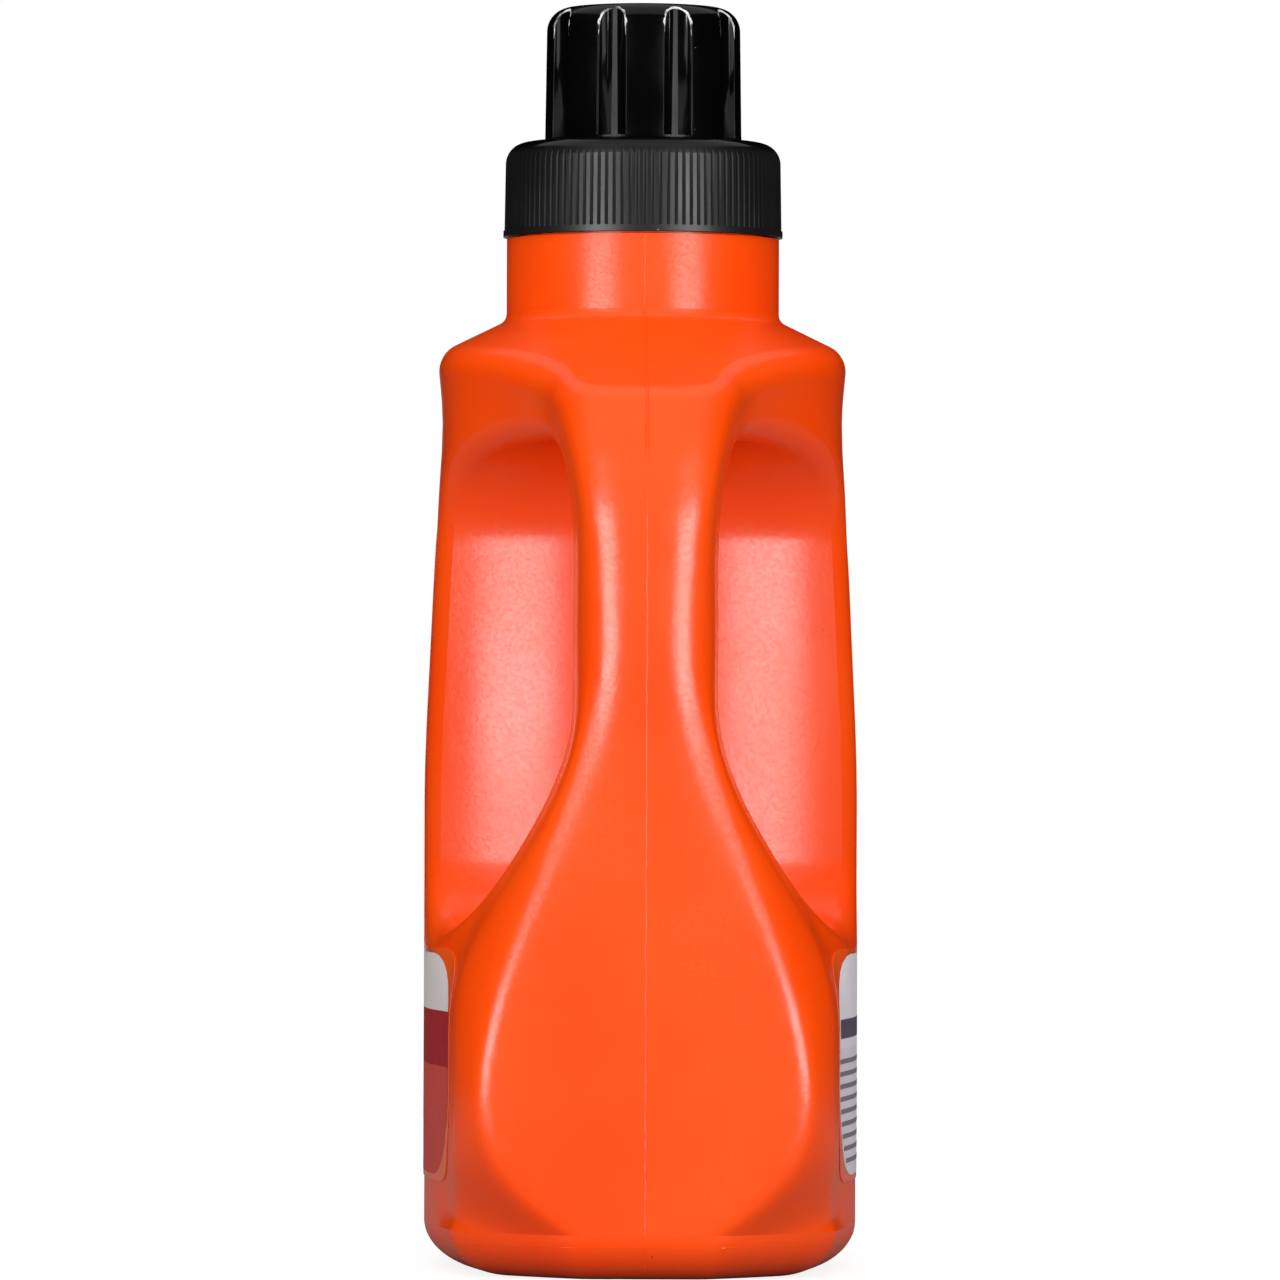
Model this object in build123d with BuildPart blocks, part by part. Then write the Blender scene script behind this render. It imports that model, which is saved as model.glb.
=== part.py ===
"""Laundry detergent bottle: blow-moulded bottle with a through handle, pour spout, dosing cap, two labels."""

import os
from math import asin, cos, pi, radians, sin, tan

from build123d import *

os.makedirs("parts", exist_ok=True)

# Driving dimensions in millimetres and degrees.
# X runs through the thickness, Y along the length with the handle at -Y, Z up from the base.

# Tank of the bottle
body_length = 134.0
body_thickness = 92.2
wall = 1.0
base_round_height = 9.5
base_round_inset = 12.5
panel_bow_radius = 224.0
panel_bow_middle = 10.0
waist_inset = 3.3
rim_bulge = 1.0
rear_corner_length = 33.0
rear_corner_width = 22.0
rear_corner_fullness = 0.8
rear_flat = 13.0

# Hollow under the base
base_rim = 10.0
base_hollow_depth = 3.0
base_hollow_slope = 5.0

# Handle and finger gap
gap_bottom = 72.0
gap_height = 101.0
gap_width = 30.0
gap_floor_radius = 14.5
gap_ceiling_radius = 21.0
gap_grip_radius = 8.5
gap_wall_radius = 85.0
gap_edge_radius = 6.5
handle_depth = 25.0
handle_half_width = 14.6
handle_round = 2.0
handle_flat_share = 0.5
handle_facet_share = 0.6
handle_cheek_depth = 3.0
handle_cheek_margin = 5.0
handle_top_flare = 0.006
brow_below_gap_top = 16.0
brow_curve = 0.016
brow_reach = 12.0

# Front panel, a teardrop inside a soft crease that runs up into the handle
crease_half_width = 33.5
crease_height = 36.0
crease_foot = 30.0
crease_foot_turn = 62.0
handle_crease_half_width = 10.5
crease_top_flare = 0.0016
crease_flat_share = 0.8
crease_facet_share = 0.4
facet_slope = 49.0

# Heights of the body's swells, measured from the finger gap
spread_below_gap = 20.0
narrow_above_gap_bottom = 46.0
crease_neck_above_gap_bottom = 60.0
taper_above_gap_bottom = 34.0
flare_below_gap_top = 23.0
waist_above_gap_top = 5.0
rim_above_waist = 12.0

# Shoulder and neck
shoulder_above_gap = 26.7
shoulder_slope = 26.0
shoulder_radius = 6.0
neck_offset = 6.0
neck_height = 17.3
neck_step = 2.9
neck_foot_radius = 2.5
finish_height = 17.0
finish_wall = 2.0
bore_radius = 24.0

# Pour spout
spout_fit = 0.05
spout_wall = 1.2
flange_thickness = 1.2
flange_inset = 0.3
trough_depth = 19.0
trough_fall = 3.0
tube_clearance = 4.1
lip_height = 14.0
lip_slant = 22.0
drain_width = 7.0

# Dosing cap
cap_gap = 0.3
skirt_foot_gap = 0.5
skirt_clearance = 0.8
skirt_wall = 2.3
skirt_draft = 0.3
skirt_corner_radius = 4.5
bead_height = 1.3
bead_step = 0.25
deck_thickness = 2.0
cup_gap = 4.75
cup_wall = 1.3
cup_depth_below_deck = 13.5
tower_height = 29.2
tower_wall = 1.6
tower_draft = 0.4
tower_corner_radius = 5.0
tower_crown = 0.9
flute_count = 9
flute_radius = 3.3
flute_depth = 2.3
flute_wall = 1.1
flute_foot = 0.7
flute_edge_radius = 0.4
rib_count = 112
rib_depth = 0.35
rib_groove_width = 0.8

# Label films
film = 0.15
adhesive = 0.05
label_front_inset = 21.0
label_rear_inset = 25.0
label_bottom = 19.0
label_below_gap = 4.5
label_top_drop = 16.0
label_behind_gap = 20.0
label_corner_radius = 15.0
label_corner_share = 0.45

# Places that follow from the driving dimensions
half_length = body_length / 2
half_thickness = body_thickness / 2
front = -half_length
handle_back = front + handle_depth
gap_back = handle_back + gap_width
gap_middle = (handle_back + gap_back) / 2
gap_top = gap_bottom + gap_height
waist_height = gap_top + waist_above_gap_top
rim_height = waist_height + rim_above_waist
neck_foot = gap_top + shoulder_above_gap
neck_top = neck_foot + neck_height
finish_top = neck_top + finish_height
finish_radius = bore_radius + finish_wall
neck_radius = finish_radius + neck_step
neck_axis = Axis((0, neck_offset, 0), (0, 0, 1))
neck_profile_plane = Plane.XZ.offset(-neck_offset)

# Number of sections and the degree of their curves
spline_degree = 3
base_steps = 6
wall_steps = 16


def raised_cosine(height, low, high):
    """Fall smoothly from 1 at the low height to 0 at the high one."""
    share = min(max((height - low) / (high - low), 0), 1)
    return (1 + cos(pi * share)) / 2


def blend(first, second, share):
    """Mix two sizes: the first at share 0, the second at share 1."""
    return first + (second - first) * share


def crease_at(height):
    """Half-width of the front panel: an elliptic foot, a smooth neck-in, a slight flare at the handle's top."""
    if height < crease_height:
        drop = min((crease_height - height) / crease_foot, sin(radians(crease_foot_turn)))
        return crease_half_width * cos(asin(drop))
    neck_in = gap_bottom + crease_neck_above_gap_bottom
    share = raised_cosine(height, crease_height, neck_in)
    flare = crease_top_flare * max(height - neck_in, 0) ** 2
    return blend(handle_crease_half_width, crease_half_width, share) + flare


def tank_at(height):
    """Half-thickness of the tank: straight below, tapered to the waist, out again at the shoulder rim."""
    taper_foot = gap_bottom + taper_above_gap_bottom
    taper = min(max((height - taper_foot) / (waist_height - taper_foot), 0), 1)
    bulge = rim_bulge * (1 - raised_cosine(height, waist_height, rim_height))
    return half_thickness - waist_inset * taper + bulge


def half_outline(height):
    """Control points of half a level section, from the middle of the front panel round to the rear."""
    crease = crease_at(height)
    tank = tank_at(height)

    def panel(y):
        return tank - (y - panel_bow_middle) ** 2 / (2 * panel_bow_radius)

    brow = min(brow_curve * max(height - gap_top + brow_below_gap_top, 0) ** 2, brow_reach)
    brow_front = front + brow
    spread = raised_cosine(height, gap_bottom - spread_below_gap, gap_bottom + narrow_above_gap_bottom)
    flare = handle_top_flare * max(height - gap_top + flare_below_gap_top, 0) ** 2
    handle = blend(handle_half_width, panel(handle_back), spread) + flare
    gap_flank = blend((handle + panel(gap_back)) / 2, panel(gap_middle), spread)
    crease_depth = handle_round * (1 - spread)
    facet_room = handle_depth - brow - handle_cheek_depth - handle_cheek_margin
    fall = min((handle - crease) * tan(radians(facet_slope)), facet_room)
    cheek_depth = crease_depth + fall + handle_cheek_depth
    flat_share = blend(handle_flat_share, crease_flat_share, spread)
    facet_share = blend(handle_facet_share, crease_facet_share, spread)
    rear_start = half_length - rear_corner_length
    rear_edge = panel(rear_start)
    return [
        (0, brow_front),
        (flat_share * crease, brow_front),
        (crease, brow_front + crease_depth),
        (blend(crease, handle, facet_share), brow_front + crease_depth + facet_share * fall),
        (handle, brow_front + cheek_depth),
        (handle, handle_back),
        (gap_flank, gap_middle),
        (panel(gap_back), gap_back),
        (tank, panel_bow_middle),
        (rear_edge, rear_start),
        (
            rear_edge - rear_corner_width * (1 - rear_corner_fullness),
            rear_start + rear_corner_length * rear_corner_fullness,
        ),
        (rear_edge - rear_corner_width, half_length),
        (rear_flat, half_length),
        (0, half_length),
    ]


def inset_outline(points, inset):
    """Move an outline's control points inwards along its normals."""
    normals = []
    for start, end in zip(points, points[1:]):
        step = (Vector(*end) - Vector(*start)).normalized()
        normals.append(Vector(step.Y, -step.X))
    moved = []
    for point, before, after in zip(points, normals[:1] + normals, normals + normals[-1:]):
        mitre = (before + after) / (1 + before.dot(after))
        moved.append(Vector(*point) - mitre * inset)
    return moved


def level_section(height, inset):
    """Level section of the tank, drawn in by the inset."""
    outline = inset_outline(half_outline(height), inset)
    spans = len(outline) - spline_degree
    knots = [0] * spline_degree + list(range(spans + 1)) + [spans] * spline_degree
    with BuildSketch(Plane.XY.offset(height)) as section:
        with BuildLine():
            BSpline(outline, knots, spline_degree)
            mirror(about=Plane.YZ)
        make_face()
    return section.sketch


def tank_form(inset):
    """Rounded base edge and side wall, each lofted through its own sections so that neither sways."""
    base_sections = []
    for step in range(base_steps + 1):
        turn = pi / 2 * step / base_steps
        height = blend(base_round_height, inset, cos(turn))
        base_sections.append(level_section(height, blend(base_round_inset, inset, sin(turn))))
    wall_sections = []
    for step in range(wall_steps + 1):
        wall_sections.append(level_section(blend(base_round_height, neck_top, step / wall_steps), inset))
    with BuildPart() as form:
        loft(base_sections)
        loft(wall_sections)
    return form.part


def bottle_form(inset):
    """Outer form of the body and neck collar, or with an inset the hollow inside it."""
    slope = tan(radians(shoulder_slope))
    collar = neck_radius - inset
    foot = neck_foot + inset * slope - inset / cos(radians(shoulder_slope))
    eave = foot - (body_length - collar) * slope
    with BuildPart() as form:
        add(tank_form(inset))
        # Shoulder cone and neck collar
        with BuildSketch(neck_profile_plane):
            with BuildLine():
                Polyline(
                    (0, -base_round_height),
                    (body_length, -base_round_height),
                    (body_length, eave),
                    (collar, foot),
                    (collar, neck_top - inset),
                    (0, neck_top - inset),
                    close=True,
                )
            profile = make_face()
            fillet(profile.vertices().sort_by_distance((collar, foot))[0], neck_foot_radius + inset)
        revolve(axis=neck_axis, mode=Mode.INTERSECT)
        shoulder = form.faces().filter_by(GeomType.CONE).sort_by(Axis.Z)[-1]
        fillet(shoulder.edges().filter_by(GeomType.BSPLINE), shoulder_radius - inset)
        # Finger gap, part of a ring cut round the front of the tank, drawn on the ring's far side
        whole = form.edges()
        ring_middle = gap_back + gap_wall_radius
        with BuildSketch(Plane.YZ) as opening:
            with Locations((ring_middle + gap_wall_radius + gap_width / 2, gap_bottom + gap_height / 2)):
                Rectangle(gap_width + 2 * inset, gap_height + 2 * inset)
            fillet(opening.vertices().group_by(Axis.Y)[0], gap_floor_radius + inset)
            fillet(opening.vertices().group_by(Axis.Y)[-1].sort_by(Axis.X)[0], gap_ceiling_radius + inset)
            fillet(opening.vertices().group_by(Axis.Y)[-1].sort_by(Axis.X)[-1], gap_grip_radius + inset)
        revolve(axis=Axis((0, ring_middle, 0), (0, 0, 1)), mode=Mode.SUBTRACT)
        lips = (form.edges() - whole).filter_by(GeomType.BSPLINE)
        fillet(lips, gap_edge_radius - inset)
        # Hollow under the base
        for height, shrink in ((inset, 0), (inset + base_hollow_depth, base_hollow_slope)):
            edge = 2 * (base_round_inset + base_rim + shrink - inset)
            with BuildSketch(Plane.XY.offset(height)):
                SlotOverall(body_length - edge, body_thickness - edge, rotation=90)
        loft(mode=Mode.SUBTRACT)
    return form.part


# Bottle: one hollow blow-moulding with its handle, neck collar and neck finish
with BuildPart() as bottle:
    add(bottle_form(0))
    with BuildSketch(neck_profile_plane):
        with Locations((0, neck_top)):
            Rectangle(finish_radius, finish_height, align=Align.MIN)
    revolve(axis=neck_axis)
    add(bottle_form(wall), mode=Mode.SUBTRACT)
    with BuildSketch(neck_profile_plane):
        with Locations((0, finish_top)):
            Rectangle(bore_radius, finish_height + 2 * wall, align=(Align.MIN, Align.MAX))
    revolve(axis=neck_axis, mode=Mode.SUBTRACT)
bottle.part.label = "bottle"
export_step(bottle.part, "parts/bottle.step")

# Pour spout: a press-fit insert with a trough that drains back through a slot in its pouring tube
spout_radius = bore_radius - spout_fit
flange_radius = finish_radius - flange_inset
flange_top = finish_top + flange_thickness
cup_radius = bore_radius - cup_gap
tube_radius = cup_radius - tube_clearance
trough_floor = finish_top - trough_depth
tube_foot = trough_floor - trough_fall
lip_middle = flange_top + lip_height

with BuildPart() as pour_spout:
    with BuildSketch(neck_profile_plane):
        with BuildLine():
            Polyline(
                (flange_radius, finish_top),
                (flange_radius, flange_top),
                (spout_radius - spout_wall, flange_top),
                (spout_radius - spout_wall, trough_floor + spout_wall),
                (tube_radius, tube_foot + spout_wall),
                (tube_radius, lip_middle + tube_radius),
                (tube_radius - spout_wall, lip_middle + tube_radius),
                (tube_radius - spout_wall, tube_foot),
                (spout_radius, trough_floor),
                (spout_radius, finish_top),
                close=True,
            )
        make_face()
    revolve(axis=neck_axis)
    lip = Plane(origin=(0, neck_offset, lip_middle), z_dir=(0, -sin(radians(lip_slant)), cos(radians(lip_slant))))
    split(bisect_by=lip, keep=Keep.BOTTOM)
    with BuildSketch(Plane.XY.offset(tube_foot)):
        with Locations((0, neck_offset)):
            Rectangle(drain_width, tube_radius, align=(Align.CENTER, Align.MAX))
    extrude(amount=lip_middle + tube_radius - tube_foot, mode=Mode.SUBTRACT)
pour_spout.part.label = "pour_spout"
export_step(pour_spout.part, "parts/pour_spout.step")

# Dosing cap: one moulding with a ribbed skirt, a fluted tower and a measuring cup inside
skirt_foot = neck_top + skirt_foot_gap
deck_bottom = flange_top + cap_gap
deck_top = deck_bottom + deck_thickness
cap_top = deck_top + tower_height
cup_foot = deck_bottom - cup_depth_below_deck
cup_top = cap_top - tower_crown - tower_wall
tower_radius = cup_radius + tower_wall
tower_top_radius = tower_radius - tower_draft
skirt_bore = finish_radius + skirt_clearance
skirt_top_radius = skirt_bore + skirt_wall
skirt_foot_radius = skirt_top_radius + skirt_draft
flute_centre = tower_radius - flute_depth + flute_radius
flute_bottom = deck_top + flute_foot
crown_radius = (tower_top_radius**2 + tower_crown**2) / (2 * tower_crown)

# The cup's hollow keeps an even wall behind each flute
with BuildPart() as cup_hollow:
    with BuildSketch(neck_profile_plane):
        with Locations((0, cup_foot)):
            Rectangle(cup_radius, cup_top - cup_foot, align=Align.MIN)
    revolve(axis=neck_axis)
    with Locations((0, neck_offset, flute_bottom - flute_wall)):
        with PolarLocations(flute_centre, flute_count, start_angle=90):
            Cylinder(
                flute_radius + flute_wall,
                cap_top - flute_bottom + flute_wall,
                align=(Align.CENTER, Align.CENTER, Align.MIN),
                mode=Mode.SUBTRACT,
            )

# Groove between two grip ribs, along the sloping side of the skirt
rib_foot = skirt_foot + bead_height
rib_length = deck_top - rib_foot
with BuildPart() as rib_groove:
    with BuildSketch(Plane(origin=(0, 0, 0), z_dir=(skirt_top_radius - skirt_foot_radius, 0, rib_length))):
        with BuildLine():
            Polyline(
                (-rib_depth, 0),
                (rib_depth, -rib_groove_width),
                (rib_depth, rib_groove_width),
                close=True,
            )
        make_face()
    extrude(amount=rib_length)

with BuildPart() as dosing_cap:
    with BuildSketch(neck_profile_plane):
        with BuildLine():
            Polyline(
                (0, cup_foot),
                (cup_radius + cup_wall, cup_foot),
                (cup_radius + cup_wall, deck_bottom),
                (skirt_bore, deck_bottom),
                (skirt_bore, skirt_foot),
                (skirt_foot_radius + bead_step, skirt_foot),
                (skirt_foot_radius + bead_step, rib_foot),
                (skirt_foot_radius, rib_foot),
                (skirt_top_radius, deck_top),
                (tower_radius, deck_top),
                (tower_top_radius, cap_top - tower_crown),
            )
            RadiusArc((tower_top_radius, cap_top - tower_crown), (0, cap_top), -crown_radius)
            Line((0, cap_top), (0, cup_foot))
        section = make_face()
        corners = section.vertices()
        fillet(corners.sort_by_distance((skirt_top_radius, deck_top))[0], skirt_corner_radius)
        fillet(corners.sort_by_distance((tower_top_radius, cap_top - tower_crown))[0], tower_corner_radius)
    revolve(axis=neck_axis)
    add(cup_hollow.part, mode=Mode.SUBTRACT)
    unfluted = dosing_cap.edges()
    with Locations((0, neck_offset, flute_bottom)):
        with PolarLocations(flute_centre, flute_count, start_angle=90):
            Cylinder(
                flute_radius,
                cap_top - flute_bottom,
                align=(Align.CENTER, Align.CENTER, Align.MIN),
                mode=Mode.SUBTRACT,
            )
    fillet((dosing_cap.edges() - unfluted).filter_by(GeomType.BSPLINE), flute_edge_radius)
    with Locations((0, neck_offset, rib_foot)):
        with PolarLocations(skirt_foot_radius, rib_count):
            add(rib_groove.part, mode=Mode.SUBTRACT)
dosing_cap.part.label = "dosing_cap"
export_step(dosing_cap.part, "parts/dosing_cap.step")

# Label films: a boot-shaped outline that passes under the finger gap and rises behind it
label_front = front + label_front_inset
label_rear = half_length - label_rear_inset
label_gap_edge = gap_back + label_behind_gap
label_corner = min(label_corner_radius, label_corner_share * (label_rear - label_gap_edge))
label_low_top = gap_bottom - label_below_gap
label_top = gap_top - label_top_drop
with BuildPart() as film_skin:
    add(tank_form(-adhesive - film))
    add(tank_form(-adhesive), mode=Mode.SUBTRACT)


def label_film(side):
    """The film on one broad side: side is 1 for +X and -1 for -X."""
    with BuildPart() as label:
        with BuildSketch(Plane.YZ) as outline:
            with BuildLine():
                Polyline(
                    (label_front, label_bottom),
                    (label_rear, label_bottom),
                    (label_rear, label_top),
                    (label_gap_edge, label_top),
                    (label_gap_edge, label_low_top),
                    (label_front, label_low_top),
                    close=True,
                )
            make_face()
            fillet(outline.vertices(), label_corner)
        extrude(amount=side * body_thickness)
        add(film_skin.part, mode=Mode.INTERSECT)
    return label.part


for name, side in (("front_label", -1), ("back_label", 1)):
    with BuildPart() as label:
        add(label_film(side))
    label.part.label = name
    export_step(label.part, f"parts/{name}.step")
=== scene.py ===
"""Looks for the laundry detergent bottle: plastics, label films, mould lines, thread, light and camera."""

import math

import bmesh
import bpy
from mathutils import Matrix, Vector, noise
from mathutils.bvhtree import BVHTree


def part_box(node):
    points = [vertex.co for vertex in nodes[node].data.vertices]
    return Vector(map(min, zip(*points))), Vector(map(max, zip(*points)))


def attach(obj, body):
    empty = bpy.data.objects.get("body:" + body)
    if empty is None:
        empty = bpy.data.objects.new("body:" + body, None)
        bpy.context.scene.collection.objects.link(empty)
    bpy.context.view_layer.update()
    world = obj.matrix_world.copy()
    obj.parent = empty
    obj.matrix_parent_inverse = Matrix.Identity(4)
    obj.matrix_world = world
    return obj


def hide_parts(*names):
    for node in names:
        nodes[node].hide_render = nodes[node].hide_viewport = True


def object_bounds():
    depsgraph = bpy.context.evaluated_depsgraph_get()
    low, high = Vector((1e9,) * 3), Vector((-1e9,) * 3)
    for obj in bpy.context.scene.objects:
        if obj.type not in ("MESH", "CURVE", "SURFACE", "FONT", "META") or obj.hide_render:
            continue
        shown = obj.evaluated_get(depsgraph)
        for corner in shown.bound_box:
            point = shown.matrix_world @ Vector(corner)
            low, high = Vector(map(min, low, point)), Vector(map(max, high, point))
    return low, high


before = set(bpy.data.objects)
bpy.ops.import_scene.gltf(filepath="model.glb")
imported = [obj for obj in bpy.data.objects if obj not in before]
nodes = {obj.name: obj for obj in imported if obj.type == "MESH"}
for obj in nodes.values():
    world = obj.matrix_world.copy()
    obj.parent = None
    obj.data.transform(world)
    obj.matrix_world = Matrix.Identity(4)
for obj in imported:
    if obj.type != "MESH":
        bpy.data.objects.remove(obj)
cad_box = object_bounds()
scene = bpy.context.scene
MM = 0.001

# Places taken from the frame, in metres
cap_low, cap_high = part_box("dosing_cap")
_, bottle_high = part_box("bottle")
film_low, film_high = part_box("front_label")
neck_y = (cap_low.y + cap_high.y) / 2
body_middle = (Vector(cad_box[0]) + Vector(cad_box[1])) / 2

# Sizes that the frame doesn't give: the cap's deck, the threaded neck finish and the finger gap
DECK_BELOW_CAP_TOP = 29.2 * MM
FINISH_RADIUS = 26.0 * MM
FINISH_HEIGHT = 17.0 * MM
GAP_MIDDLE_Y = -27.0 * MM
GAP_ROUND_LOW = 87.0 * MM
GAP_ROUND_HIGH = 152.0 * MM

# A distance in metres from which a ray starts outside the object
FAR = 0.3


def srgb(red, green, blue):
    """A colour given in display values from 0 to 255, as the linear colour that Blender takes."""
    def linear(value):
        share = value / 255
        return share / 12.92 if share <= 0.04045 else ((share + 0.055) / 1.055) ** 2.4
    return (linear(red), linear(green), linear(blue), 1.0)


# Colours of the plastics, with their specks and dust, and a painted highlight for the cap's flute edges
ORANGE = srgb(253, 71, 2)
LIGHT_ORANGE = srgb(253, 79, 5)
DARK_SPECK = srgb(196, 48, 10)
PALE_SPECK = srgb(255, 172, 128)
GLOSSY_BLACK = srgb(4, 4, 4)
MATTE_BLACK = srgb(16, 14, 15)
DUST = srgb(150, 146, 142)
# The flutes' edges: plain dark, and pale where a painted highlight stands for the lamps' glint
PLAIN_EDGE = srgb(40, 40, 40)
GLINT_EDGE = srgb(226, 224, 222)
MILKY = srgb(226, 222, 210)
LIGHT_MILKY = srgb(240, 237, 228)

# Colours of the label films and of the print on them
FILM_ORANGE = srgb(250, 86, 22)
LIGHT_FILM_ORANGE = srgb(254, 98, 34)
INK_DOT = srgb(60, 40, 44)
BAR_GREY = srgb(132, 126, 138)
HEADING_GREY = srgb(92, 84, 104)
ROUNDEL_PALE = srgb(240, 232, 226)

# Where a noise pattern's values mostly lie
NOISE_LOW = 0.3
NOISE_HIGH = 0.7

# Sockets of the mix node for colours, which shares its names with other kinds of value
MIX_FIRST = 6
MIX_SECOND = 7
MIX_RESULT = 2


class Graph:
    """A shader tree, with short calls for the nodes in it."""

    def __init__(self, tree, coordinates):
        self.tree = tree
        self.place = tree.nodes.new("ShaderNodeTexCoord").outputs[coordinates]

    def feed(self, socket, value):
        if isinstance(value, bpy.types.NodeSocket):
            self.tree.links.new(value, socket)
        else:
            socket.default_value = value

    def math(self, operation, first, second=0.0):
        node = self.tree.nodes.new("ShaderNodeMath")
        node.operation = operation
        self.feed(node.inputs[0], first)
        self.feed(node.inputs[1], second)
        return node.outputs[0]

    def span(self, value, low, high, start=0.0, end=1.0):
        """Follow a value smoothly from low to high with a number that goes from start to end."""
        node = self.tree.nodes.new("ShaderNodeMapRange")
        node.interpolation_type = "SMOOTHSTEP"
        for socket, number in zip(node.inputs, (value, low, high, start, end)):
            self.feed(socket, number)
        return node.outputs[0]

    def axis(self, name):
        node = self.tree.nodes.new("ShaderNodeSeparateXYZ")
        self.feed(node.inputs[0], self.place)
        return node.outputs[name]

    def ray_kind(self):
        """Whether a ray comes from the camera, and whether it comes off or through the object."""
        path = self.tree.nodes.new("ShaderNodeLightPath")
        mirrored = self.math("MAXIMUM", path.outputs["Is Glossy Ray"], path.outputs["Is Transmission Ray"])
        return path.outputs["Is Camera Ray"], mirrored


class Finish(Graph):
    """One procedural material: its shader, and the patterns that feed it."""

    def __init__(self, name):
        self.material = bpy.data.materials.new(name)
        self.material.use_nodes = True
        super().__init__(self.material.node_tree, "Object")
        self.shader = self.tree.nodes["Principled BSDF"]

    def noise(self, scale, detail=2.0):
        node = self.tree.nodes.new("ShaderNodeTexNoise")
        self.feed(node.inputs["Vector"], self.place)
        node.inputs["Scale"].default_value = scale
        node.inputs["Detail"].default_value = detail
        return node.outputs["Fac"]

    def mix(self, share, first, second):
        node = self.tree.nodes.new("ShaderNodeMix")
        node.data_type = "RGBA"
        self.feed(node.inputs[0], share)
        self.feed(node.inputs[MIX_FIRST], first)
        self.feed(node.inputs[MIX_SECOND], second)
        return node.outputs[MIX_RESULT]

    def specks(self, spacing, size, share):
        """Small round spots: one cell in so many holds one, and the rest stay clear."""
        node = self.tree.nodes.new("ShaderNodeTexVoronoi")
        self.feed(node.inputs["Vector"], self.place)
        node.inputs["Scale"].default_value = 1 / spacing
        chosen = self.tree.nodes.new("ShaderNodeSeparateColor")
        self.feed(chosen.inputs[0], node.outputs["Color"])
        kept = self.math("LESS_THAN", chosen.outputs[0], share)
        reach = self.math("MULTIPLY", chosen.outputs[1], size / spacing)
        spot = self.math("LESS_THAN", node.outputs["Distance"], reach)
        return self.math("MULTIPLY", kept, spot)

    def bump(self, height, distance, strength):
        node = self.tree.nodes.new("ShaderNodeBump")
        self.feed(node.inputs["Height"], height)
        node.inputs["Distance"].default_value = distance
        node.inputs["Strength"].default_value = strength
        self.feed(self.shader.inputs["Normal"], node.outputs["Normal"])

    def set(self, **values):
        """Feed the shader's sockets, named in small letters with underscores."""
        for name, value in values.items():
            self.feed(self.shader.inputs[name.replace("_", " ").title().replace("Ior", "IOR")], value)


def orange_plastic():
    """Sand-textured blow-moulded plastic with faint clouds and a few specks."""
    finish = Finish("orange_plastic")
    cloud = finish.noise(scale=22.0, detail=3.0)
    colour = finish.mix(finish.span(cloud, NOISE_LOW, NOISE_HIGH), ORANGE, LIGHT_ORANGE)
    dark_specks = finish.specks(spacing=9.0 * MM, size=0.35 * MM, share=0.25)
    colour = finish.mix(dark_specks, colour, DARK_SPECK)
    pale_specks = finish.specks(spacing=11.0 * MM, size=0.3 * MM, share=0.2)
    colour = finish.mix(pale_specks, colour, PALE_SPECK)
    grain = finish.math("ADD", finish.noise(scale=1700.0), finish.noise(scale=800.0, detail=1.0))
    finish.bump(grain, distance=0.03 * MM, strength=0.5)
    sparkle = finish.noise(scale=1300.0)
    finish.set(
        base_color=colour,
        roughness=finish.span(cloud, NOISE_LOW, NOISE_HIGH, start=0.23, end=0.28),
        specular_ior_level=finish.span(sparkle, low=0.35, high=0.65, start=0.4, end=0.6),
    )
    return finish.material


# How far below the cap's deck the skirt's matte finish ends, and the tower's gloss begins
MATTE_BELOW_DECK = 3.0 * MM
GLOSS_BELOW_DECK = 1.0 * MM


def black_plastic():
    """Glossy tower over a matte ribbed skirt, both with a little dust."""
    finish = Finish("black_plastic")
    deck = cap_high.z - DECK_BELOW_CAP_TOP
    skirt = finish.span(
        finish.axis("Z"),
        low=deck - MATTE_BELOW_DECK,
        high=deck - GLOSS_BELOW_DECK,
        start=1.0,
        end=0.0,
    )
    tower = finish.math("SUBTRACT", 1.0, skirt)
    smudge = finish.noise(scale=60.0, detail=4.0)
    gloss = finish.span(smudge, low=0.35, high=0.75, start=0.1, end=0.2)
    matte = finish.span(smudge, NOISE_LOW, NOISE_HIGH, start=0.34, end=0.42)
    rough_skirt = finish.math("MULTIPLY", skirt, matte)
    rough_tower = finish.math("MULTIPLY", tower, gloss)
    colour = finish.mix(skirt, GLOSSY_BLACK, MATTE_BLACK)
    colour = finish.mix(finish.specks(spacing=2.6 * MM, size=0.16 * MM, share=0.22), colour, DUST)
    finish.bump(finish.noise(scale=1800.0), distance=0.012 * MM, strength=0.4)
    finish.set(
        base_color=colour,
        roughness=finish.math("ADD", rough_skirt, rough_tower),
        specular_ior_level=finish.span(skirt, low=0.0, high=1.0, start=0.5, end=0.8),
    )
    return finish.material


def edge_glint():
    """The flutes' upper edges: dark, with pale patches that are a painted highlight, the lamps' glint on
    them.
    """
    finish = Finish("edge_glint")
    glint = finish.span(finish.noise(scale=420.0, detail=3.0), low=0.35, high=0.6)
    colour = finish.mix(glint, PLAIN_EDGE, GLINT_EDGE)
    finish.set(base_color=colour, roughness=finish.span(glint, low=0.0, high=1.0, start=0.2, end=0.4))
    return finish.material


def spout_plastic():
    """Natural milky plastic with faint flow marks."""
    finish = Finish("spout_plastic")
    flow = finish.noise(scale=45.0, detail=3.0)
    finish.bump(finish.noise(scale=700.0), distance=0.01 * MM, strength=0.4)
    finish.set(
        base_color=finish.mix(flow, MILKY, LIGHT_MILKY),
        roughness=finish.span(flow, NOISE_LOW, NOISE_HIGH, start=0.3, end=0.42),
    )
    return finish.material


# Scale of the ripples in the label films and their print
FILM_RIPPLE = 120.0


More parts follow.
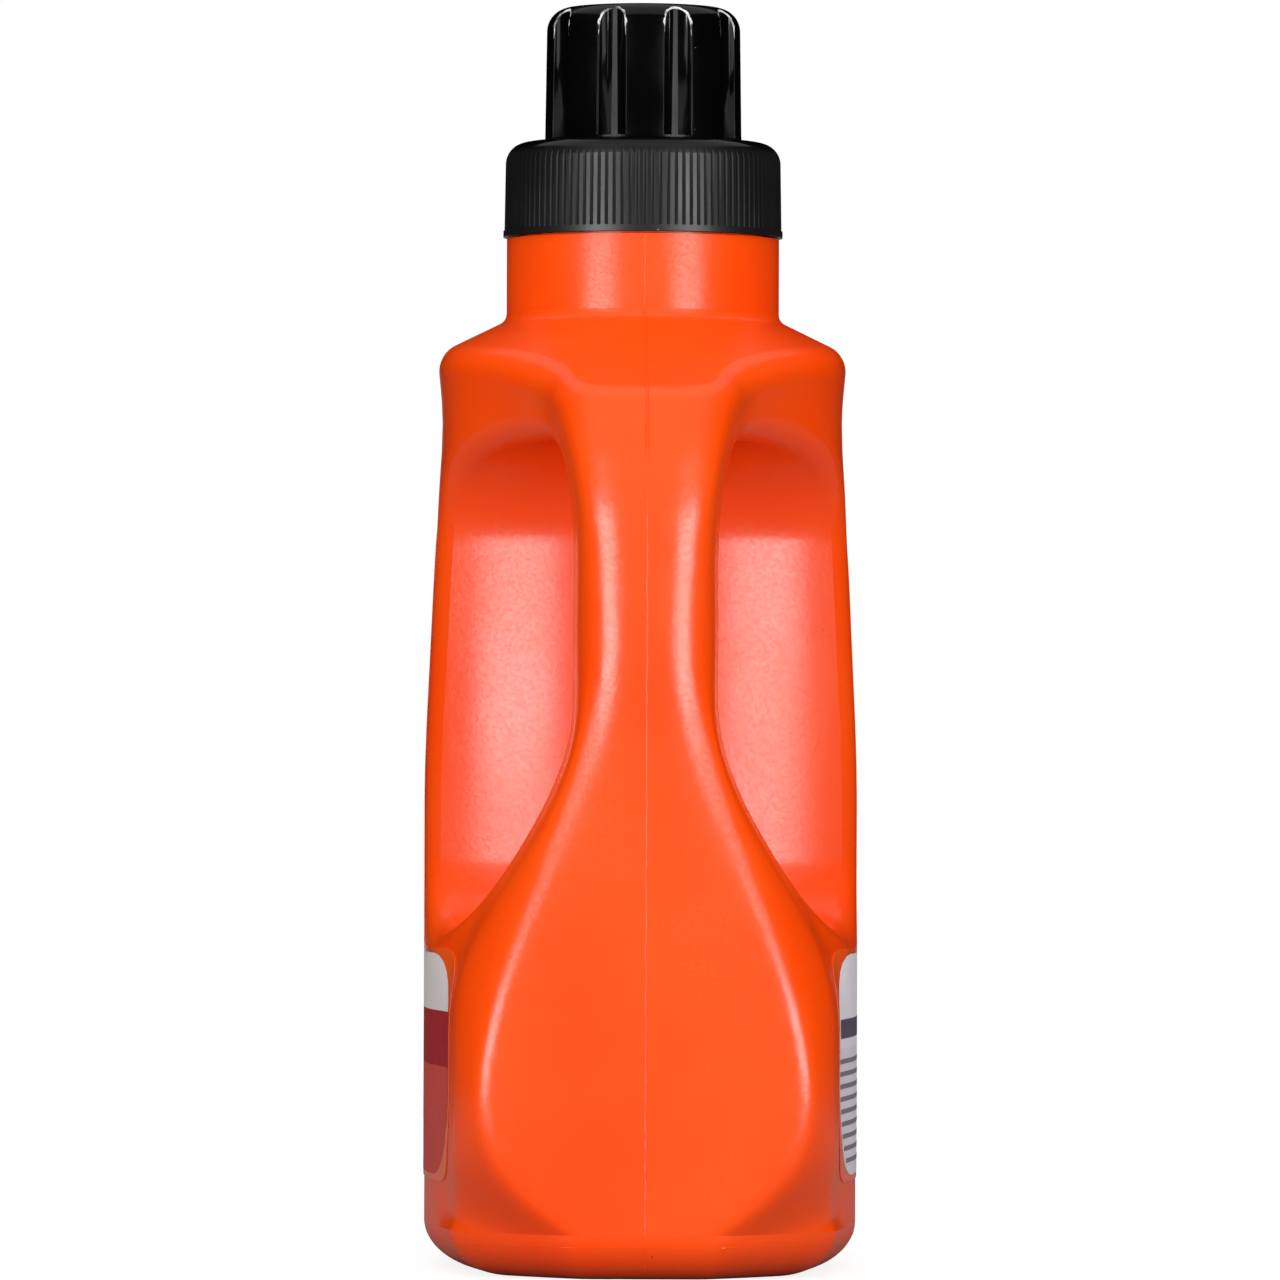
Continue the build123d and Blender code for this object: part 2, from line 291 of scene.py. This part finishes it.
def clear_film(name):
    """Clear label film, through which the bottle's colour shows."""
    finish = Finish(name)
    ripple = finish.noise(FILM_RIPPLE)
    finish.bump(ripple, distance=0.02 * MM, strength=0.3)
    finish.set(
        base_color=finish.mix(ripple, FILM_ORANGE, LIGHT_FILM_ORANGE),
        roughness=finish.span(ripple, NOISE_LOW, NOISE_HIGH, start=0.16, end=0.24),
    )
    return finish.material


# Half the height over which one printed field turns into the next
FIELD_BLUR = 0.1 * MM


def banded_print(name, fields, ink_grain):
    """Printed fields stacked by height: each colour holds up to its own height, the last to the top."""
    finish = Finish(name)
    height = finish.axis("Z")
    ripple = finish.noise(FILM_RIPPLE)
    colour = fields[0][1]
    for (top, _), (_, above) in zip(fields, fields[1:]):
        colour = finish.mix(finish.span(height, top - FIELD_BLUR, top + FIELD_BLUR), colour, above)
    grain = finish.noise(scale=1500.0, detail=1.0)
    dots = finish.span(grain, NOISE_LOW, NOISE_HIGH, start=0.0, end=ink_grain)
    finish.bump(ripple, distance=0.01 * MM, strength=0.2)
    finish.set(
        base_color=finish.mix(dots, colour, INK_DOT),
        roughness=finish.span(ripple, NOISE_LOW, NOISE_HIGH, start=0.5, end=0.6),
        specular_ior_level=0.25,
    )
    return finish.material


def dress(name, material):
    """Give a CAD node its material."""
    nodes[name].data.materials.clear()
    nodes[name].data.materials.append(material)


def surface(name):
    """The surface of a CAD node, to be met by rays."""
    return BVHTree.FromObject(nodes[name], bpy.context.evaluated_depsgraph_get())


def meet(tree, start, direction):
    """Where a ray meets a surface, and the surface's outward normal there."""
    spot, normal, _, _ = tree.ray_cast(Vector(start), Vector(direction).normalized())
    return spot, normal if normal.dot(Vector(direction)) < 0 else -normal


def add_piece(name, form, material, body="bottle"):
    """Turn a finished form into a smooth piece that rides on a body."""
    bmesh.ops.recalc_face_normals(form, faces=form.faces[:])
    mesh = bpy.data.meshes.new(name)
    form.to_mesh(mesh)
    form.free()
    mesh.shade_smooth()
    mesh.materials.append(material)
    piece = bpy.data.objects.new(name, mesh)
    scene.collection.objects.link(piece)
    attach(piece, body)
    return piece


# The cap tower's top edge: wall radius and draft there, the crown's rise and slope, and the rounding
TOWER_TOP_RADIUS = 20.45 * MM
TOWER_DRAFT = math.radians(0.8)
CROWN_RISE = 0.9 * MM
CROWN_SLOPE = math.radians(5.0)
TOWER_CORNER_RADIUS = 5.0 * MM
CORNER_ARC_STEPS = 12
corner_foot = cap_high.z - CROWN_RISE - TOWER_CORNER_RADIUS

# The envelope that rounds it: how it stands clear of the tower's wall, the cap's foot and the crown
WALL_CLEARANCE = 0.3 * MM
WALL_CLEARANCE_DROP = 4.0 * MM
FOOT_CLEARANCE = 5.0 * MM
CROWN_CLEARANCE = 1.0 * MM
ENVELOPE_STEPS = 180

# A full spin ends a few thousandths of a millimetre off its start, and the cut needs a closed seam
WELD_DISTANCE = 0.01 * MM

# The flutes' edges in that rounding, and the turn between faces from which an edge is sharp
FLUTE_EDGE_RADIUS = 0.3 * MM
SHARP_ANGLE = math.radians(30)
SLIVER = 0.03 * MM
# The second material, which paints a highlight on those rounded edges
EDGE_MATERIAL = 1

# How straight out, as a cosine, a face of a round wall looks
ROUND_WALL_TURN = 0.985


def corner_envelope():
    """Half-section round the tower's top: the rounded edge, standing clear of the cap everywhere else."""
    corner = Vector((TOWER_TOP_RADIUS, cap_high.z - CROWN_RISE))
    first = TOWER_DRAFT
    last = math.pi / 2 - CROWN_SLOPE
    pull = TOWER_CORNER_RADIUS / math.sin(last - first)
    centre = corner - pull * Vector((math.sin(last) - math.sin(first), math.cos(first) - math.cos(last)))
    arc = []
    for step in range(CORNER_ARC_STEPS + 1):
        turn = first + (last - first) * step / CORNER_ARC_STEPS
        arc.append(centre + TOWER_CORNER_RADIUS * Vector((math.cos(turn), math.sin(turn))))
    foot = arc[0] + Vector((WALL_CLEARANCE, -WALL_CLEARANCE_DROP))
    low = cap_low.z - FOOT_CLEARANCE
    return [(0, low), (FAR, low), (FAR, foot.y), foot, *arc, (0, cap_high.z + CROWN_CLEARANCE)]


def envelope_cutter():
    """The half-section spun about the cap's axis."""
    form = bmesh.new()
    section = [form.verts.new((radius, neck_y, height)) for radius, height in corner_envelope()]
    outline = [form.edges.new(pair) for pair in zip(section, section[1:])]
    bmesh.ops.spin(
        form,
        geom=section + outline,
        cent=(0, neck_y, 0),
        axis=(0, 0, 1),
        angle=math.tau,
        steps=ENVELOPE_STEPS,
    )
    bmesh.ops.remove_doubles(form, verts=form.verts[:], dist=WELD_DISTANCE)
    bmesh.ops.recalc_face_normals(form, faces=form.faces[:])
    mesh = bpy.data.meshes.new("cap_envelope")
    form.to_mesh(mesh)
    form.free()
    return bpy.data.objects.new("cap_envelope", mesh)


def cut_cap():
    """A copy of the cap's own mesh, cut to the envelope."""
    cutter = envelope_cutter()
    blank = bpy.data.objects.new("cap_blank", nodes["dosing_cap"].data.copy())
    scene.collection.objects.link(cutter)
    scene.collection.objects.link(blank)
    cut = blank.modifiers.new("round_edge", "BOOLEAN")
    cut.operation = "INTERSECT"
    cut.object = cutter
    bpy.context.view_layer.update()
    form = bmesh.new()
    form.from_object(blank, bpy.context.evaluated_depsgraph_get())
    bpy.data.objects.remove(blank)
    bpy.data.objects.remove(cutter)
    return form


def soften_flute_edges(form):
    """Round the flutes' sharp edges in the tower's rounding, and give them the second material."""
    upper = [vertex for vertex in form.verts if vertex.co.z > corner_foot]
    bmesh.ops.remove_doubles(form, verts=upper, dist=SLIVER)
    sharp = []
    for edge in form.edges:
        high = min(vertex.co.z for vertex in edge.verts) > corner_foot
        if high and len(edge.link_faces) == 2 and edge.calc_face_angle_signed() > SHARP_ANGLE:
            sharp.append(edge)
    bmesh.ops.bevel(
        form,
        geom=sharp,
        offset=FLUTE_EDGE_RADIUS,
        segments=3,
        profile=0.5,
        affect="EDGES",
        clamp_overlap=False,
        material=EDGE_MATERIAL,
    )


def shade_round_walls(mesh):
    """Shade the faces below the rounding that look straight out from the cap's axis as true round walls."""
    # A normal left at zero keeps the mesh's own shading
    normals = [Vector() for _ in mesh.loops]
    for face in mesh.polygons:
        out = Vector((face.center.x, face.center.y - neck_y, 0)).normalized()
        if face.center.z > corner_foot or face.normal.dot(out) < ROUND_WALL_TURN:
            continue
        for loop in face.loop_indices:
            spot = mesh.vertices[mesh.loops[loop].vertex_index].co
            normals[loop] = Vector((spot.x, spot.y - neck_y, 0)).normalized()
    mesh.normals_split_custom_set(normals)


def add_rounded_cap(material, edge_material):
    """The dosing cap with its tower's top edge rounded, in place of the node's plain edge."""
    form = cut_cap()
    soften_flute_edges(form)
    piece = add_piece("rounded_cap", form, material, "cap")
    piece.data.materials.append(edge_material)
    piece.data.set_sharp_from_angle(angle=SHARP_ANGLE)
    shade_round_walls(piece.data)
    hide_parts("dosing_cap")


# Cross-section of a raised line: places across it and rises, as shares of its half-width and height
RIDGE_SECTION = ((-1.0, -0.6), (-0.55, 0.55), (0.0, 1.0), (0.55, 0.55), (1.0, -0.6))


def add_ridge(name, path, material, closed=False):
    """A raised line along a surface: each point has a spot, a normal, a half-width and a height."""
    form = bmesh.new()
    rows = []
    last = len(path) - 1
    for index, (spot, normal, half_width, rise) in enumerate(path):
        before = path[index - 1][0] if closed or index else spot
        after = path[(index + 1) % len(path)][0] if closed or index < last else spot
        across = (after - before).cross(normal).normalized()
        rows.append([
            form.verts.new(spot + across * half_width * side + normal * rise * share)
            for side, share in RIDGE_SECTION
        ])
    following = rows[1:] + rows[:1] if closed else rows[1:]
    for row, next_row in zip(rows, following):
        for index in range(len(RIDGE_SECTION) - 1):
            form.faces.new((row[index], row[index + 1], next_row[index + 1], next_row[index]))
    add_piece(name, form, material)


# The mould's parting line on the front: heights, half-widths there and rises there, all in millimetres
FLASH_STOPS = (
    (2, 0.45, 0.20),
    (36, 0.40, 0.18),
    (48, 0.20, 0.08),
    (120, 0.18, 0.07),
    (168, 0.18, 0.08),
    (171, 0.60, 0.30),
    (175, 0.36, 0.24),
    (199, 0.40, 0.24),
    (203, 0.24, 0.10),
    (217, 0.24, 0.10),
)

# Where the line starts and ends, how it wanders sideways and how its size ripples
FLASH_FOOT = 3.0 * MM
FLASH_BELOW_FINISH = 0.5 * MM
FLASH_WAVE = 0.16 * MM
WAVE_LENGTH = 5.0 * MM
FLASH_RIPPLE = 0.5
RIPPLE_LENGTH = 2.0 * MM
RIPPLE_TRACK = 7.0
PATH_STEP = 0.8 * MM
GAP_ARC_STEPS = 40


def flash_size(height):
    """Half-width and rise of the parting line at a height, in metres."""
    for (low, width, rise), (high, next_width, next_rise) in zip(FLASH_STOPS, FLASH_STOPS[1:]):
        if height / MM <= high:
            break
    share = min(max((height / MM - low) / (high - low), 0), 1)
    ripple = 1 + FLASH_RIPPLE * noise.noise(Vector((RIPPLE_TRACK, 0.0, height / RIPPLE_LENGTH)))
    return [MM * ripple * (a + (b - a) * share) for a, b in ((width, next_width), (rise, next_rise))]


def steps_between(low, high):
    """Even steps of about a path's spacing, both ends included."""
    count = round((high - low) / PATH_STEP)
    return [low + (high - low) * index / count for index in range(count + 1)]


def gap_rays():
    """Rays from the middle of the finger gap to its wall: up the rear, over, down the grip and under."""
    heights = steps_between(GAP_ROUND_LOW, GAP_ROUND_HIGH)
    turns = [math.pi * index / GAP_ARC_STEPS for index in range(1, GAP_ARC_STEPS)]
    rays = [(height, (0, 1, 0)) for height in heights]
    rays += [(GAP_ROUND_HIGH, (0, math.cos(turn), math.sin(turn))) for turn in turns]
    rays += [(height, (0, -1, 0)) for height in reversed(heights)]
    rays += [(GAP_ROUND_LOW, (0, -math.cos(turn), -math.sin(turn))) for turn in turns]
    return [((0, GAP_MIDDLE_Y, height), direction) for height, direction in rays]


def add_parting_lines(material):
    """The two mould halves meet in the plane through the handle: front, rear and inside the finger gap."""
    body = surface("bottle")
    heights = steps_between(FLASH_FOOT, bottle_high.z - FINISH_HEIGHT - FLASH_BELOW_FINISH)
    for name, side in (("parting_line_front", -1), ("parting_line_rear", 1)):
        path = []
        for height in heights:
            wave = FLASH_WAVE * noise.noise(Vector((side, 0.0, height / WAVE_LENGTH)))
            path.append((*meet(body, (wave, side * FAR, height), (0, -side, 0)), *flash_size(height)))
        add_ridge(name, path, material)
    gap_flash = flash_size(heights[len(heights) // 2])
    path = [(*meet(body, start, direction), *gap_flash) for start, direction in gap_rays()]
    add_ridge("parting_line_gap", path, material, closed=True)


# The line round the foot
INSERT_LINE_HEIGHT = 7.0 * MM
INSERT_LINE_HALF_WIDTH = 0.16 * MM
INSERT_LINE_RISE = 0.045 * MM
INSERT_LINE_STEPS = 240


def add_insert_line(material):
    """The faint line round the foot where the mould's base insert meets its sides."""
    body = surface("bottle")
    path = []
    for index in range(INSERT_LINE_STEPS):
        turn = math.tau * index / INSERT_LINE_STEPS
        out = Vector((math.cos(turn), math.sin(turn), 0))
        start = out * FAR + Vector((0, 0, INSERT_LINE_HEIGHT))
        path.append((*meet(body, start, -out), INSERT_LINE_HALF_WIDTH, INSERT_LINE_RISE))
    add_ridge("base_insert_line", path, material, closed=True)


# The neck's thread, which takes the fade's share of its length to come up and to run out
THREAD_BELOW_RIM = 3.0 * MM
THREAD_RISE = 0.5 * MM
THREAD_HALF_WIDTH = 0.9 * MM
THREAD_PITCH = 5.0 * MM
THREAD_TURNS = 1.75
THREAD_STEPS = 180
THREAD_FADE = 1 / 12


def add_thread(material):
    """The neck's screw thread, which fades in and out at its ends."""
    path = []
    for index in range(THREAD_STEPS + 1):
        share = index / THREAD_STEPS
        turn = math.tau * THREAD_TURNS * share
        normal = Vector((math.cos(turn), math.sin(turn), 0))
        height = bottle_high.z - THREAD_BELOW_RIM - THREAD_PITCH * THREAD_TURNS * share
        spot = Vector((0, neck_y, height)) + normal * FINISH_RADIUS
        fade = min(1, share / THREAD_FADE, (1 - share) / THREAD_FADE)
        path.append((spot, normal, THREAD_HALF_WIDTH, THREAD_RISE * fade))
    add_ridge("neck_thread", path, material)


# Printed part of the labels: the film's boot-shaped outline, drawn in by a clear border
PRINT_BORDER = 1.2 * MM
BOOT_STEP_Y = 8.0 * MM
BOOT_STEP_Z = 67.5 * MM
BOOT_CORNER = 15.0 * MM
FRONT_END_ROUND = 22.0 * MM
PRINT_LIFT = 0.03 * MM
PRINT_CELL = 3.0 * MM
CORNER_STEPS = 8

# Bars, heading and disc on the print
ROW_MARGIN = 1.8 * MM
UPRIGHT_ROW_START = 12.0 * MM
BAR_ROUND_SHARE = 0.3
HEADING_LOW = 49.0 * MM
HEADING_TOP = 53.0 * MM
HEADING_END = 8.0 * MM
ROUNDEL_CENTRE = Vector((25.0, 100.0)) * MM
ROUNDEL_RADIUS = 11.0 * MM
ROUNDEL_STEPS = 64

# Fields of colour, each with the height up to which it runs
TO_THE_TOP = 1.0
FRONT_FIELDS = (
    (43.0 * MM, srgb(206, 74, 66)),
    (54.5 * MM, srgb(170, 30, 40)),
    (68.0 * MM, srgb(222, 214, 212)),
    (84.0 * MM, srgb(196, 52, 48)),
    (118.0 * MM, srgb(228, 120, 60)),
    (TO_THE_TOP, srgb(244, 226, 206)),
)
BACK_FIELDS = (
    (47.0 * MM, srgb(224, 216, 226)),
    (TO_THE_TOP, srgb(232, 226, 234)),
)


def rounded(corners):
    """An outline with rounded square corners, each given as a place and a radius."""
    points = []
    places = [Vector(place) for place, _ in corners]
    for index, (_, radius) in enumerate(corners):
        corner = places[index]
        back = (places[index - 1] - corner).normalized() * radius
        ahead = (places[(index + 1) % len(places)] - corner).normalized() * radius
        for step in range(CORNER_STEPS + 1):
            turn = math.pi / 2 * step / CORNER_STEPS
            points.append(corner + back + ahead - ahead * math.cos(turn) - back * math.sin(turn))
    return points


def boot_outline():
    """The print's outline along Y and Z: a foot below the finger gap and a leg behind it."""
    outer = BOOT_CORNER - PRINT_BORDER
    inner = BOOT_CORNER + PRINT_BORDER
    front = film_low.y + PRINT_BORDER
    rear = film_high.y - PRINT_BORDER
    low = film_low.z + PRINT_BORDER
    top = film_high.z - PRINT_BORDER
    step_y = BOOT_STEP_Y + PRINT_BORDER
    step_z = BOOT_STEP_Z - PRINT_BORDER
    return rounded([
        ((front, low), FRONT_END_ROUND),
        ((rear, low), outer),
        ((rear, top), outer),
        ((step_y, top), outer),
        ((step_y, step_z), inner),
        ((front, step_z), FRONT_END_ROUND),
    ])


def row_start(height):
    """Where a row starts along Y at a height, a margin inside the print's rounded front end."""
    to_edge = min(height - film_low.z, BOOT_STEP_Z - height) - PRINT_BORDER
    drop = max(FRONT_END_ROUND - to_edge, 0)
    front = film_low.y + PRINT_BORDER + FRONT_END_ROUND - math.sqrt(FRONT_END_ROUND**2 - drop**2)
    return front + ROW_MARGIN


def bar_outline(start, end, low, high):
    """A bar with slightly rounded ends, in metres along Y and Z."""
    radius = (high - low) * BAR_ROUND_SHARE
    corners = ((start, low), (end, low), (end, high), (start, high))
    return rounded([(corner, radius) for corner in corners])


def ragged_rows(start_at, count, foot, pitch, thickness, end, group, short):
    """Rows of bars from the foot up. In each group, every row ends short of the one below it."""
    rows = []
    for index in range(count):
        low = foot + index * pitch
        rows.append(bar_outline(start_at(low), end - index % group * short, low, low + thickness))
    return rows


def add_print(name, film, outlines, material, layer=1):
    """Lay printed outlines, drawn along Y and Z, on the outside of a label film."""
    tree = surface(film)
    side = 1 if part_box(film)[1].x > 0 else -1
    form = bmesh.new()
    for outline in outlines:
        form.faces.new([form.verts.new((0, y, z)) for y, z in outline])
    form.normal_update()
    bmesh.ops.triangulate(form, faces=form.faces[:])
    for axis, low, high in ((1, film_low.y, film_high.y), (2, film_low.z, film_high.z)):
        direction = [0, 0, 0]
        direction[axis] = 1
        for index in range(1, int((high - low) / PRINT_CELL)):
            place = [0, 0, 0]
            place[axis] = low + index * PRINT_CELL
            whole = form.verts[:] + form.edges[:] + form.faces[:]
            bmesh.ops.bisect_plane(form, geom=whole, plane_co=place, plane_no=direction)
    for vertex in form.verts:
        spot, normal = meet(tree, (side * FAR, vertex.co.y, vertex.co.z), (-side, 0, 0))
        vertex.co = spot + normal * PRINT_LIFT * layer
    add_piece(name, form, material)


def add_prints():
    """Generic colour fields and bars where the labels carry their print."""
    front_ink = banded_print("front_ink", FRONT_FIELDS, ink_grain=0.05)
    back_ink = banded_print("back_ink", BACK_FIELDS, ink_grain=0.04)
    bar_ink = banded_print("bar_ink", ((TO_THE_TOP, BAR_GREY),), ink_grain=0.1)
    heading_ink = banded_print("heading_ink", ((TO_THE_TOP, HEADING_GREY),), ink_grain=0.1)
    roundel_ink = banded_print("roundel_ink", ((TO_THE_TOP, ROUNDEL_PALE),), ink_grain=0.03)
    add_print("front_print", "front_label", [boot_outline()], front_ink)
    add_print("back_print", "back_label", [boot_outline()], back_ink)
    rows = ragged_rows(
        row_start,
        count=9,
        foot=23.0 * MM,
        pitch=2.6 * MM,
        thickness=1.0 * MM,
        end=36.0 * MM,
        group=3,
        short=6.0 * MM,
    )
    add_print("back_rows", "back_label", rows, bar_ink, layer=2)
    heading = bar_outline(row_start(HEADING_TOP), HEADING_END, HEADING_LOW, HEADING_TOP)
    add_print("back_heading", "back_label", [heading], heading_ink, layer=2)
    upright_rows = ragged_rows(
        lambda height: UPRIGHT_ROW_START,
        count=16,
        foot=72.0 * MM,
        pitch=4.6 * MM,
        thickness=1.3 * MM,
        end=38.0 * MM,
        group=4,
        short=3.0 * MM,
    )
    add_print("back_upright_rows", "back_label", upright_rows, bar_ink, layer=2)
    turns = [math.tau * index / ROUNDEL_STEPS for index in range(ROUNDEL_STEPS)]
    roundel = [ROUNDEL_CENTRE + ROUNDEL_RADIUS * Vector((math.cos(turn), math.sin(turn))) for turn in turns]
    add_print("front_roundel", "front_label", [roundel], roundel_ink, layer=2)


# Two light boxes stand before the bottle, each brightest near its foot: level, foot, head and watts
BOX_DISTANCE = 1.2
BOX_AZIMUTH = math.radians(37)
BOX_WIDTH = 0.5
BOX_LEVELS = (
    ("low", 0.07, 0.13, 2.2),
    ("middle", 0.13, 0.235, 1.8),
    ("tall", 0.235, 1.235, 2.0),
)

# A broad panel hangs over it
PANEL_SIZE = 2.0
PANEL_WATTS = 5.0
PANEL_PLACE = (0, 0.2, 1.5)


def area_light(name, width, height, watts, place, aim):
    """A flat lamp at a place, turned to face another."""
    data = bpy.data.lights.new(name, "AREA")
    data.shape = "RECTANGLE"
    data.size = width
    data.size_y = height
    data.energy = watts
    light = bpy.data.objects.new(name, data)
    scene.collection.objects.link(light)
    light.location = place
    light.rotation_euler = (Vector(aim) - Vector(place)).to_track_quat("-Z", "Y").to_euler()


def make_lights():
    for side_name, side in (("left", -1), ("right", 1)):
        for level_name, foot, head, watts in BOX_LEVELS:
            middle = (foot + head) / 2
            place = (
                side * BOX_DISTANCE * math.sin(BOX_AZIMUTH),
                -BOX_DISTANCE * math.cos(BOX_AZIMUTH),
                middle,
            )
            name = f"{side_name}_{level_name}_box"
            area_light(name, BOX_WIDTH, head - foot, watts, place, aim=(0, 0, middle))
    area_light("top_panel", PANEL_SIZE, PANEL_SIZE, PANEL_WATTS, PANEL_PLACE, aim=body_middle)


# The floor is grey paper that glows for the camera, less round the object, and at its far edge for mirrors
FLOOR_RADIUS = 0.8
FLOOR_GREY = 0.2
FLOOR_GLOW = 0.86
FLOOR_GLOW_RADIUS = 0.2
FLOOR_MIRROR_START = 0.7


def floor_paper():
    finish = Finish("floor_paper")
    finish.set(base_color=(FLOOR_GREY, FLOOR_GREY, FLOOR_GREY, 1), roughness=0.9)
    camera, mirrored = finish.ray_kind()
    far_edge = finish.span(finish.axis("Y"), FLOOR_MIRROR_START, FLOOR_RADIUS)
    seen = finish.math("MAXIMUM", camera, finish.math("MULTIPLY", mirrored, far_edge))
    radius = finish.tree.nodes.new("ShaderNodeVectorMath")
    radius.operation = "LENGTH"
    finish.feed(radius.inputs[0], finish.place)
    level = finish.span(radius.outputs["Value"], FLOOR_GLOW_RADIUS, FLOOR_RADIUS, start=FLOOR_GLOW, end=1.0)
    glow = finish.tree.nodes.new("ShaderNodeEmission")
    finish.feed(glow.inputs["Strength"], finish.math("MULTIPLY", seen, level))
    total = finish.tree.nodes.new("ShaderNodeAddShader")
    finish.feed(total.inputs[0], finish.shader.outputs[0])
    finish.feed(total.inputs[1], glow.outputs[0])
    finish.feed(finish.tree.nodes["Material Output"].inputs["Surface"], total.outputs[0])
    return finish.material


def make_floor():
    """A pale floor that looks white and keeps the object's shadow."""
    form = bmesh.new()
    bmesh.ops.create_circle(form, cap_ends=True, segments=96, radius=FLOOR_RADIUS)
    mesh = bpy.data.meshes.new("floor")
    form.to_mesh(mesh)
    form.free()
    mesh.materials.append(floor_paper())
    floor = bpy.data.objects.new("floor", mesh)
    scene.collection.objects.link(floor)


# Soft light from the world, all round, from the front and from above, by the direction's Y and Z
WORLD_FILL = 0.06
FRONT_FILL = 1.0
FRONT_FILL_END = -0.2
TOP_FILL = 1.0
TOP_FILL_START = 0.2

# The backdrop as the object mirrors it: white straight behind, up to a low height, and dark before
DARK_FRONT = 0.02
BACKDROP_START = 0.985
BACKDROP_TOP = 0.02
BACKDROP_FADE = 0.07


def make_world():
    """White backdrop all round for the camera; mirrored, it is white behind the object and dark before."""
    world = bpy.data.worlds.new("studio")
    scene.world = world
    world.use_nodes = True
    sky = Graph(world.node_tree, "Generated")
    depth = sky.axis("Y")
    height = sky.axis("Z")
    camera, mirrored = sky.ray_kind()
    behind = sky.span(depth, BACKDROP_START, 1.0, start=DARK_FRONT, end=1.0)
    low = sky.span(height, BACKDROP_TOP, BACKDROP_FADE, start=1.0, end=0.0)
    backdrop = sky.math("MULTIPLY", mirrored, sky.math("MULTIPLY", behind, low))
    shown = sky.math("MAXIMUM", backdrop, camera)
    hidden = sky.math("SUBTRACT", 1.0, sky.math("MAXIMUM", mirrored, camera))
    front = sky.span(depth, -1.0, FRONT_FILL_END, start=FRONT_FILL, end=0.0)
    top = sky.span(height, TOP_FILL_START, 1.0, start=0.0, end=TOP_FILL)
    soft = sky.math("ADD", sky.math("ADD", front, top), WORLD_FILL)
    fill = sky.math("MULTIPLY", hidden, soft)
    background = sky.tree.nodes["Background"]
    sky.feed(background.inputs["Strength"], sky.math("ADD", shown, fill))
    sky.feed(background.inputs["Color"], (1, 1, 1, 1))


# Camera: a long lens level with the bottle's middle, a little to the left of its handle
CAMERA_DISTANCE = 2.0
CAMERA_HEIGHT = 0.1084
CAMERA_AZIMUTH = math.radians(-0.9)
CAMERA_ROLL = math.radians(0.2)
CAMERA_REACH = 100.0
METRES_PER_PIXEL = 0.2115 * MM
HORIZON_PIXEL = 752
SHIFT_PIXELS = 2.0
PHOTO_PIXELS = 1280
SENSOR_WIDTH = 36.0


def make_camera():
    data = bpy.data.cameras.new("camera")
    data.sensor_width = SENSOR_WIDTH
    data.lens = SENSOR_WIDTH * CAMERA_DISTANCE / (METRES_PER_PIXEL * PHOTO_PIXELS)
    data.clip_end = CAMERA_REACH
    data.shift_x = -SHIFT_PIXELS / PHOTO_PIXELS
    camera = bpy.data.objects.new("camera", data)
    scene.collection.objects.link(camera)
    camera.location = (
        CAMERA_DISTANCE * math.sin(CAMERA_AZIMUTH),
        -CAMERA_DISTANCE * math.cos(CAMERA_AZIMUTH),
        CAMERA_HEIGHT,
    )
    pitch = math.atan((HORIZON_PIXEL - PHOTO_PIXELS / 2) * METRES_PER_PIXEL / CAMERA_DISTANCE)
    camera.rotation_euler = (math.pi / 2 + pitch, 0, CAMERA_AZIMUTH)
    camera.rotation_euler.rotate_axis("Z", CAMERA_ROLL)
    scene.camera = camera


# The CAD nodes take their materials
body_material = orange_plastic()
dress("bottle", body_material)
cap_material = black_plastic()
dress("dosing_cap", cap_material)
dress("pour_spout", spout_plastic())
dress("front_label", clear_film("front_film"))
dress("back_label", clear_film("back_film"))

# The pieces that only the picture has
# The rounded cap's flute edges carry a painted highlight
add_rounded_cap(cap_material, edge_glint())
add_parting_lines(body_material)
add_insert_line(body_material)
add_thread(body_material)
add_prints()

# The studio round the object
make_lights()
make_floor()
make_world()
make_camera()
scene.view_settings.view_transform = "Standard"
